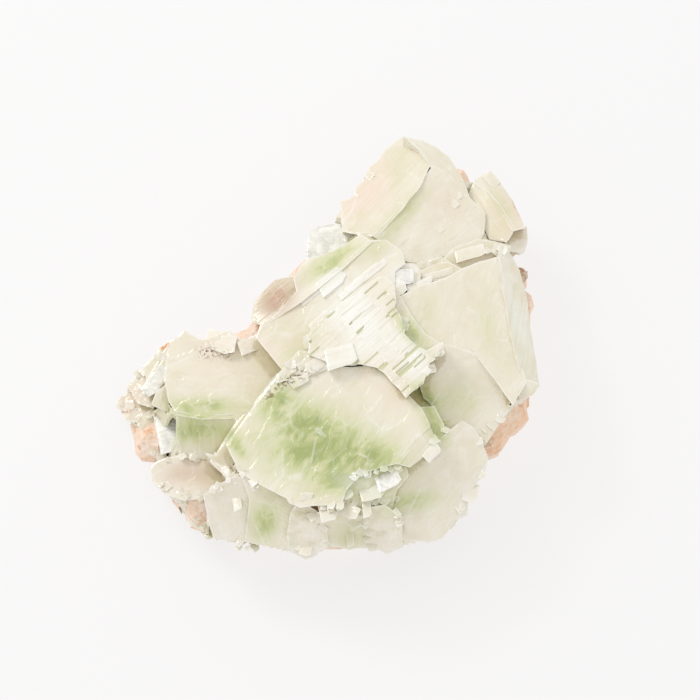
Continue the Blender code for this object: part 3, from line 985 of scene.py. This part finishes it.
def crystal_marks(graph, colour, clouds, fine):
    """Over the colour: healed cracks, painted shade with some dirt in the hollows, painted shade in the gaps,
    iron specks and a painted highlight on the worn edges.
    """
    cracks = graph.add(
        "ShaderNodeTexVoronoi", {"feature": "DISTANCE_TO_EDGE"},
        Vector=own_place(graph, CRACK_STRETCH), Scale=CRACK_SCALE,
    ).outputs["Distance"]
    healed = graph.product(graph.ramp(cracks, CRACK_WIDTH, 0.0), graph.ramp(clouds, 0.45, 0.62, 0.0, 0.4))
    colour = graph.mix(healed, colour, WHITE)
    # Painted shade in the near hollows, with some dirt, broken up by fine noise.
    hollows = graph.ramp(graph.attribute("near"), 0.3, 1.0, 0.0, 0.5)
    colour = graph.mix(graph.product(hollows, graph.ramp(fine, 0.3, 0.6, 0.5, 1.0)), colour, HOLLOW_SHADE_AND_DIRT)
    # Painted shade in the gaps and grooves of the relief.
    colour = graph.mix(graph.attribute("line"), colour, GAP_SHADE_COLOUR)
    specks = graph.ramp(graph.noise(graph.place(), *SPECKS), 0.50, 0.58)
    colour = graph.mix(graph.product(specks, graph.attribute("iron")), colour, IRON)
    # Painted highlight along the worn edges.
    edges = graph.ramp(graph.attribute("edge"), 0.3, 0.95)
    return graph.mix(graph.product(edges, graph.ramp(fine, 0.4, 0.6, 0.2, 0.8)), colour, WHITE)


def apophyllite_material():
    """Cloudy stone under a glassy skin with fine fibres."""
    graph = Graph("apophyllite")
    clouds, fine = own_noise(graph, *CLOUDS), graph.noise(graph.place(), *FINE)
    shader = graph.add(
        "ShaderNodeBsdfPrincipled", IOR=CRYSTAL_IOR,
        Base_Color=crystal_marks(graph, crystal_colour(graph, clouds), clouds, fine),
        Roughness=graph.ramp(fine, 0.3, 0.8, 0.06, 0.28),
        Normal=graph.bump(own_noise(graph, *FIBRES), FIBRE_HEIGHT, FIBRE_STRENGTH),
    )
    return graph.end(Surface=shader)


APOPHYLLITE = apophyllite_material()
print("cloudy apophyllite ready")

# %% [markdown]
# ## The clear crystals
# A few crystals are like milky glass. They let part of the light through between their white veils, with
# the mineral's own refraction and a little straw-coloured absorption inside.

# %% Clear apophyllite
CLEAR_WHITE = (0.99, 0.97, 0.91)
CLEAR_TINT = (0.93, 0.90, 0.78)
CLEAR_DENSITY = 14.0
CLEAR_MOST = 0.30
VEILS = (230.0, 4.0, 0.65, 1.2)
PITS = (800.0, 3.0, 0.6)
PIT_HEIGHT, PIT_STRENGTH = 0.00006, 0.4


def clear_material():
    """Glass with white veils, which let no light through where they are thick."""
    graph = Graph("clear_apophyllite")
    veils = graph.noise(graph.place(), *VEILS)
    shader = graph.add(
        "ShaderNodeBsdfPrincipled", IOR=CRYSTAL_IOR,
        Base_Color=graph.over(CLEAR_WHITE, WHITE, veils, 0.4, 0.7),
        Transmission_Weight=graph.ramp(veils, 0.36, 0.60, CLEAR_MOST, 0.0),
        Roughness=graph.ramp(veils, 0.3, 0.7, 0.04, 0.3),
        Normal=graph.bump(graph.noise(graph.place(), *PITS), PIT_HEIGHT, PIT_STRENGTH),
    )
    volume = graph.add("ShaderNodeVolumeAbsorption", Color=CLEAR_TINT, Density=CLEAR_DENSITY)
    return graph.end(Surface=shader, Volume=volume)


CLEAR = clear_material()
print("clear apophyllite ready")

# %% [markdown]
# ## The bed between the crystals
# Where two crystals stand apart, smaller blocky growth shows between them. It is a height map: the average
# height of the crystals around each square, lowered, with the tops of turned square blocks added, and kept
# below every crystal's own face.

# %% Shape the bed
BED_DROP = 1.8
BED_CLEAR = 0.8
BED_REACH = 3.0
BED_CLOSING = 4.0
BED_SHARE = 0.66
BED_UNDER = 2.0
BED_DEPTH = 4.0
BED_RIM = 3.0
BED_SEED = 57
BED_ORIGIN = np.array([0.0, 0.0, 30.0])
LEAST_COVER = 0.05
BLOCK_SHARE = 0.7
BLOCKS = ((0.65, 3.4, 2.0), (-0.3, 2.3, 1.6), (1.2, 1.5, 1.3))


def block_tops(x, y):
    """The highest of some grids of square blocks: each grid has a turn, a block size and a height."""
    best = np.zeros(x.shape)
    for turn, size, height in BLOCKS:
        u, v = x * math.cos(turn) + y * math.sin(turn), y * math.cos(turn) - x * math.sin(turn)
        cell = np.stack([np.floor(u / size), np.floor(v / size), np.zeros(x.shape)], axis=-1).astype(np.int64)
        value, slope = (grid_value(cell.reshape(-1, 3), BED_SEED + i).reshape(x.shape) for i in (0, 1))
        best = np.maximum(best, height * (value + (slope - 0.5) * (u / size - cell[..., 0] - 0.5)))
    return best


def crystal_bed(tops):
    """A closed body under the gaps, from the map of the crystals' faces."""
    covered = (tops > 0).astype(float)
    closed = blurred(covered, BED_CLOSING) > BED_SHARE
    near_gap = blurred(1.0 - covered, BED_UNDER) > 0.0
    average = blurred(tops, BED_REACH) / np.maximum(blurred(covered, BED_REACH), LEAST_COVER)
    x, y = MAP_STEP * (np.indices(tops.shape) + 0.5) - MAP_HALF
    bed = average - BED_DROP + BLOCK_SHARE * block_tops(x, y)
    bed = np.where(tops > 0, np.minimum(bed, tops - BED_CLEAR), bed)
    within = np.hypot(x, y) < MAP_HALF - 2 * BED_CLOSING
    wanted = closed & near_gap & within & (bed > LOWEST + BED_DEPTH)
    filled = wanted[:-1, :-1] & wanted[1:, :-1] & wanted[:-1, 1:] & wanted[1:, 1:]
    (a, b, level), quads = used_points(filled, 1)
    points = np.stack([x[a, b], y[a, b], bed[a, b] - BED_DEPTH * (1 - level)], axis=1)
    zero = np.zeros(len(points))
    return Body(points, quads, points - BED_ORIGIN, zero + BED_RIM, zero, level == 1)


print("bed ready")

# %% [markdown]
# ## Small crystals
# Little blocks sit on the big faces and in the crevices. Each is given by its place in the picture, its
# length, width and direction there, how far it stands out, and its rise to the right and to the back. The
# height map tells how high its seat is. Crumbs are strewn along lines: start, end and how many.

# %% List the small crystals
BLADE_TURN = 38
SMALL_CLOUDY = (
    (331, 281, 27, 14, BLADE_TURN, 0.7, 0.0, 0.0), (350, 289, 24, 4, BLADE_TURN, 0.5, 0.0, 0.0),
    (359, 281, 30, 4, BLADE_TURN, 0.7, 0.0, 0.0), (367, 273, 32, 4, BLADE_TURN, 0.6, 0.0, 0.0),
    (376, 268, 24, 4, BLADE_TURN, 0.8, 0.0, 0.0), (312, 293, 26, 6, BLADE_TURN, 0.5, 0.0, 0.0),
    (338, 303, 22, 3, BLADE_TURN, 0.5, 0.0, 0.0), (320, 318, 24, 4, BLADE_TURN + 6, 0.5, 0.0, 0.0),
    (420, 283, 24, 4, 22, 1.2, 0.0, 0.1), (341, 355, 28, 19, 14, 1.2, 0.1, -0.1),
    (316, 364, 16, 10, 40, 0.9, -0.1, 0.1), (372, 489, 24, 17, 15, 1.4, 0.1, -0.2),
    (328, 509, 16, 21, 12, 1.6, -0.1, -0.3), (348, 509, 18, 12, -32, 1.8, 0.2, -0.2),
    (348, 493, 7, 8, 20, 1.8, 0.0, -0.2), (298, 499, 13, 7, 10, 1.2, 0.0, -0.2),
    (367, 509, 6, 13, 5, 1.3, 0.0, -0.2), (313, 515, 8, 7, 30, 1.3, 0.0, -0.3),
    (220, 341, 28, 16, -20, 0.8, 0.3, -0.3), (250, 344, 18, 12, 20, 0.8, -0.2, -0.2),
    (350, 534, 5, 20, 6, 0.9, 0.0, -0.2), (356, 523, 11, 6, 30, 0.9, 0.0, -0.2),
    (470, 252, 26, 10, 14, 0.9, 0.1, -0.1), (438, 274, 30, 5, 16, 0.8, 0.0, 0.2),
    (492, 179, 14, 8, -50, 0.8, 0.0, 0.0), (517, 244, 14, 12, -10, 0.9, -0.2, 0.0),
    (432, 452, 16, 9, 45, 0.9, 0.0, 0.1), (399, 289, 14, 10, 15, 3.0, 0.0, 0.2),
    (452, 200, 13, 4, -48, 0.35, 0.0, 0.0), (458, 193, 8, 3, -60, 0.35, 0.0, 0.0),
    (440, 228, 4, 6, 20, 0.35, 0.0, 0.0), (346, 451, 66, 1.6, -37, 0.05, 0.0, 0.0),
    (357, 430, 4, 3, 0, 0.3, 0.0, 0.0), (300, 380, 18, 6, 28, 1.0, 0.0, 0.0),
    (372, 545, 7, 9, 10, 0.8, 0.0, -0.3), (306, 548, 9, 12, -20, 0.8, 0.0, -0.3),
    (236, 498, 6, 22, 10, 0.5, 0.2, 0.0), (471, 492, 12, 16, -10, 0.7, -0.1, -0.1),
    (222, 466, 8, 26, 45, 1.0, 0.2, 0.0),
)
SMALL_CLEAR = (
    (168, 430, 21, 44, 8, 1.8, 0.1, 0.0), (156, 380, 14, 30, -38, 1.0, 0.0, 0.0),
    (388, 479, 22, 15, 20, 1.6, 0.1, -0.2), (403, 276, 20, 13, 0, 1.6, 0.0, 0.0),
)
CRUMB_LINES = (
    ((158, 484), (206, 497), 10), ((206, 497), (236, 474), 7), ((236, 474), (262, 486), 5),
    ((285, 496), (345, 508), 9), ((345, 478), (400, 466), 10), ((352, 500), (398, 500), 9),
    ((186, 500), (212, 538), 8), ((236, 545), (300, 550), 5), ((318, 520), (326, 548), 4),
    ((366, 518), (370, 548), 4), ((396, 515), (404, 545), 5), ((118, 405), (155, 415), 7),
    ((130, 385), (166, 352), 7), ((152, 456), (206, 457), 7), ((400, 262), (424, 268), 5),
    ((395, 300), (410, 340), 5), ((422, 384), (440, 350), 5), ((430, 442), (462, 424), 6),
    ((345, 204), (372, 172), 3), ((286, 366), (330, 366), 7), ((446, 530), (484, 462), 4),
    ((478, 442), (512, 404), 5), ((476, 246), (524, 250), 6), ((296, 352), (311, 331), 4),
)
CRUMB_SIZE = (2.5, 7.0)
CRUMB_STRAY = 2.0
CRUMB_TURN = 60
CRUMB_RISE = 0.6
CRUMB_SLOPE = 0.5
CRUMB_SEED = 11
print(len(SMALL_CLOUDY) + len(SMALL_CLEAR), "small crystals listed")

# %% Bodies of the small crystals
SMALL_GRID = 0.36
SMALL_DEPTH = 5.0
SMALL_RAGGED = 0.25
SEAT_GUESS = 40.0
SEAT_STEPS = 14
CUT_CORNER = (0.3, 0.6)
CORNER_STRAY = 0.12


def seat_height(spot, tops):
    """The height where the sight line through a picture point meets the map, in steps of half the miss."""
    height = SEAT_GUESS
    for _ in range(SEAT_STEPS):
        height += 0.5 * (tops[map_place(on_level(spot, height))] - height)
    return height


def block_outline(middle, length, width, turn, rng):
    """A rectangle in the picture with one corner cut off and every corner a little out of place."""
    half = np.array([length, width]) / 2
    cut = rng.uniform(*CUT_CORNER)
    corners = np.array([(-1, -1), (1, -1), (1, 1 - cut), (1 - cut, 1), (-1, 1)]) * half
    corners += rng.uniform(-CORNER_STRAY, CORNER_STRAY, corners.shape) * half
    return np.stack(turned(*corners.T, -turn), axis=1) + middle


def crumbs(rng):
    """Tiny blocks strewn along the lines, in the same form as the listed small crystals."""
    blocks = []
    for start, end, count in CRUMB_LINES:
        for share in rng.uniform(0, 1, count):
            middle = np.array(start) * (1 - share) + np.array(end) * share + rng.normal(0, CRUMB_STRAY, 2)
            length, width = rng.uniform(*CRUMB_SIZE), rng.uniform(*CRUMB_SIZE)
            turn = rng.uniform(-CRUMB_TURN, CRUMB_TURN)
            slopes = rng.uniform(-CRUMB_SLOPE, CRUMB_SLOPE, 2)
            blocks.append((*middle, length, width, turn, CRUMB_RISE, *slopes))
    return blocks


def small_bodies(blocks, tops, seed):
    """Bodies of the small crystals that find a seat on the map."""
    rng = np.random.default_rng(seed)
    found = []
    for number, (right, down, length, width, turn, rise, rise_right, rise_back) in enumerate(blocks):
        seat = seat_height((right, down), tops)
        if seat > 2 * SMALL_DEPTH:
            outline = block_outline((right, down), length, width, turn, rng)
            plane = (seat + rise, rise_right, rise_back)
            relief = gentle if number % 3 else ribbed
            shape = (turn, SMALL_DEPTH, SMALL_GRID, seed + number)
            found.append(crystal_body(outline, plane, *shape, relief, SMALL_RAGGED))
    return found


print("small crystals ready")

# %% Build the crystals
GRID = 0.5
FINE_GRID = 0.38
CRYSTAL_SEED = 100
FIRST_SMALL_SEED = 5
SMALL_TINT = 0.3
SMALL_WHITENESS = 0.35
CLEAR_FACES = {"back_clear"}


def settle(piece, material):
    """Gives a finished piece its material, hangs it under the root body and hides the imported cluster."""
    piece.data.materials.append(material)
    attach(piece, "root")
    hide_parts("apophyllite_cluster")
    print(piece.name, len(piece.data.vertices), "points")


def build_bodies():
    """Every crystal's arrays, by name."""
    bodies = {}
    for number, (name, (plane, grain, depth, kind, outline)) in enumerate(FACES.items()):
        grid = FINE_GRID if kind == "terraced" else GRID
        bodies[name] = crystal_body(outline, plane, grain, depth, grid, CRYSTAL_SEED + number, RELIEFS[kind])
    return bodies


def tops_of(bodies):
    """The height map of the end faces alone."""
    return height_map(np.concatenate([body.points[body.on_top] for body in bodies.values()]))


def build_crystals():
    """All the crystals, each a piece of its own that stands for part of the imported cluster."""
    bodies = build_bodies()
    bodies["bed"] = crystal_bed(tops_of(bodies))
    heights = height_map(np.concatenate([body.points for body in bodies.values()]))
    maps = blurred(heights, NEAR_REACH), blurred(heights, WIDE_REACH)
    rng = np.random.default_rng(CRYSTAL_SEED)
    for name, body in bodies.items():
        piece = make_piece(name, body.points, body.quads, marks_for(body, *maps, rng.uniform()))
        settle(piece, CLEAR if name in CLEAR_FACES else APOPHYLLITE)
    small = {
        "small_crystals": (SMALL_CLOUDY, APOPHYLLITE), "small_clear_crystals": (SMALL_CLEAR, CLEAR),
        "crumbs": (crumbs(np.random.default_rng(CRUMB_SEED)), APOPHYLLITE),
    }
    tops = tops_of(bodies)
    for number, (name, (blocks, material)) in enumerate(small.items(), FIRST_SMALL_SEED):
        points, quads, marks = joined([
            (body.points, body.quads, marks_for(body, *maps, SMALL_TINT * rng.uniform()))
            for body in small_bodies(blocks, tops, CRYSTAL_SEED * number)
        ])
        marks["white"] = np.clip(marks["white"] + SMALL_WHITENESS, 0.0, 1.0)
        settle(make_piece(name, points, quads, marks), material)


build_crystals()

# %% [markdown]
# ## The stilbite crust
# Stilbite grows as sheaves of thin blades. From a step away it is a grainy peach crust with orange and
# rust-brown spots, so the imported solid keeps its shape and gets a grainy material.

# %% Grainy stilbite
STILBITE_PEACH = (0.95, 0.63, 0.43)
STILBITE_PALE = (0.96, 0.82, 0.70)
STILBITE_RUST = (0.78, 0.33, 0.13)
PATCHES = (90.0, 5.0, 0.65, 0.8)
RUST_SPOTS = (260.0, 4.0, 0.7)
GRAIN_SCALE = 700.0
GRAIN_HEIGHT, GRAIN_STRENGTH = 0.0006, 0.8
PATCH_HEIGHT, PATCH_STRENGTH = 0.0015, 0.6


def stilbite_material():
    """Peach with pale patches and rust spots, and grains that catch the light."""
    graph = Graph("stilbite")
    patches = graph.noise(graph.place(), *PATCHES)
    grains = graph.add("ShaderNodeTexVoronoi", Vector=graph.place(), Scale=GRAIN_SCALE).outputs["Distance"]
    colour = graph.over(STILBITE_PEACH, STILBITE_PALE, patches, 0.35, 0.62)
    colour = graph.over(colour, STILBITE_RUST, graph.noise(graph.place(), *RUST_SPOTS), 0.60, 0.72)
    coarse = graph.bump(grains, GRAIN_HEIGHT, GRAIN_STRENGTH)
    shader = graph.add(
        "ShaderNodeBsdfPrincipled", Base_Color=colour, Roughness=graph.ramp(grains, 0.0, 0.6, 0.35, 0.8),
        Normal=graph.bump(patches, PATCH_HEIGHT, PATCH_STRENGTH, Normal=coarse),
    )
    return graph.end(Surface=shader)


def dress_node(node, material):
    """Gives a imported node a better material."""
    slots = bpy.data.objects[node].data.materials
    slots.clear()
    slots.append(material)


dress_node("stilbite_matrix", stilbite_material())
print("stilbite dressed")

# %% [markdown]
# ## The white surface
# A plain pale floor, wide enough to fill the view. It has a little light of its own, as on a light table,
# which keeps the shadows faint.

# %% Lay the floor
FLOOR_HALF = 1.5
FLOOR_DROP = 0.0002
FLOOR_COLOUR = (0.22, 0.216, 0.216, 1.0)
FLOOR_ROUGHNESS = 0.9
GLOW_COLOUR = (1.0, 0.995, 0.995, 1.0)
FLOOR_GLOW = 0.722


def lay_floor():
    """A matt white plane just under the specimen."""
    bpy.ops.mesh.primitive_plane_add(size=2 * FLOOR_HALF, location=(0.0, 0.0, -FLOOR_DROP))
    floor = bpy.context.object
    floor.name = "studio_floor"
    material = bpy.data.materials.new("studio_white")
    material.use_nodes = True
    sockets = material.node_tree.nodes["Principled BSDF"].inputs
    sockets["Base Color"].default_value = FLOOR_COLOUR
    sockets["Roughness"].default_value = FLOOR_ROUGHNESS
    sockets["Specular IOR Level"].default_value = 0.0
    sockets["Emission Color"].default_value = GLOW_COLOUR
    sockets["Emission Strength"].default_value = FLOOR_GLOW
    floor.data.materials.append(material)


lay_floor()
print("floor laid")
